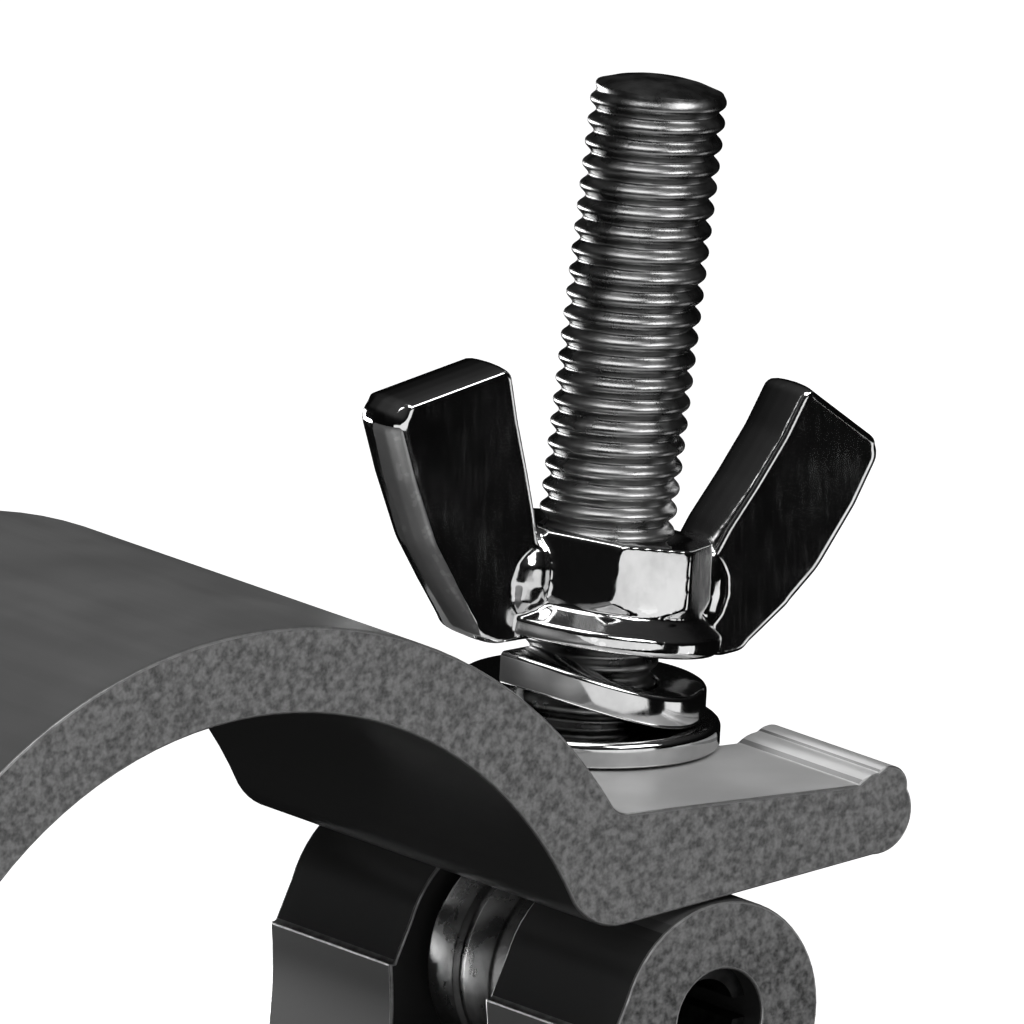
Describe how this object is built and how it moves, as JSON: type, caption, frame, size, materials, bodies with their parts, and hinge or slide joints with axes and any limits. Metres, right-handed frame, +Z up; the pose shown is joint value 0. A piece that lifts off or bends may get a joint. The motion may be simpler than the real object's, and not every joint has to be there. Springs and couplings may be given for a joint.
{
  "type": "pipe clamp",
  "caption": "Hinged aluminium half coupler that closes on a round stage tube with a swing bolt and wing nut, and carries a lamp bracket below on a captive bolt.",
  "frame": {"origin": "centre of the tube bore, half way along the clamp's width", "axes": "+Y along the tube, +Z up from the base to the arch of the upper jaw, +X from the hinge to the swing bolt"},
  "size_m": [0.0961, 0.032, 0.1214],
  "materials": {
    "jaw_aluminium": "matte blasted extrusion with sawn end faces",
    "plated_steel": "bright zinc plate",
    "bolt_steel": "rolled thread, oiled",
    "pin_steel": "dark spring steel"
  },
  "bodies": {
    "lower_jaw": {"lower_jaw": "jaw_aluminium", "hinge_pin": "pin_steel", "swing_pin": "pin_steel", "mounting_bolt": "bolt_steel"},
    "upper_jaw": {"upper_jaw": "jaw_aluminium"},
    "swing_bolt": {"swing_bolt": "bolt_steel"},
    "bolt_washers": {"flat_washer": "plated_steel", "spring_washer": "plated_steel"},
    "wing_nut": {"wing_nut": "plated_steel"},
    "mounting_washers": {"mounting_flat_washer": "plated_steel", "mounting_spring_washer": "plated_steel"},
    "mounting_nut": {"mounting_wing_nut": "plated_steel"}
  },
  "joints": [
    {"name": "jaw_open", "type": "hinge", "parent": "lower_jaw", "child": "upper_jaw", "pos_m": [-0.0335, 0, 0.0015], "axis": [0, -1, 0], "range_deg": [0, 6]},
    {"name": "bolt_swing", "type": "hinge", "parent": "lower_jaw", "child": "swing_bolt", "pos_m": [0.0335, 0, 0.0015], "axis": [0, 1, 0], "range_deg": [0, 90]},
    {"name": "nut_travel", "type": "slide", "parent": "swing_bolt", "child": "bolt_washers", "axis": [0.1736, 0, 0.9848], "range_m": [0, 0.03]},
    {"name": "nut_spin", "type": "hinge", "parent": "bolt_washers", "child": "wing_nut", "pos_m": [0.0335, 0, 0.0015], "axis": [0.1736, 0, 0.9848], "range_deg": [0, 8640]},
    {"name": "mounting_nut_travel", "type": "slide", "parent": "lower_jaw", "child": "mounting_washers", "axis": [0, 0, -1], "range_m": [0, 0.03]},
    {"name": "mounting_nut_spin", "type": "hinge", "parent": "mounting_washers", "child": "mounting_nut", "pos_m": [0, 0, -0.04], "axis": [0, 0, -1], "range_deg": [0, 7200]}
  ],
  "couplings": [
    {"joint": "nut_travel", "follows": "nut_spin", "m_per_rad": 0.00019894},
    {"joint": "bolt_swing", "follows": "nut_spin", "ratio": 0.010417},
    {"joint": "jaw_open", "follows": "nut_spin", "ratio": 0.00069444},
    {"joint": "mounting_nut_travel", "follows": "mounting_nut_spin", "m_per_rad": 0.00023873}
  ]
}
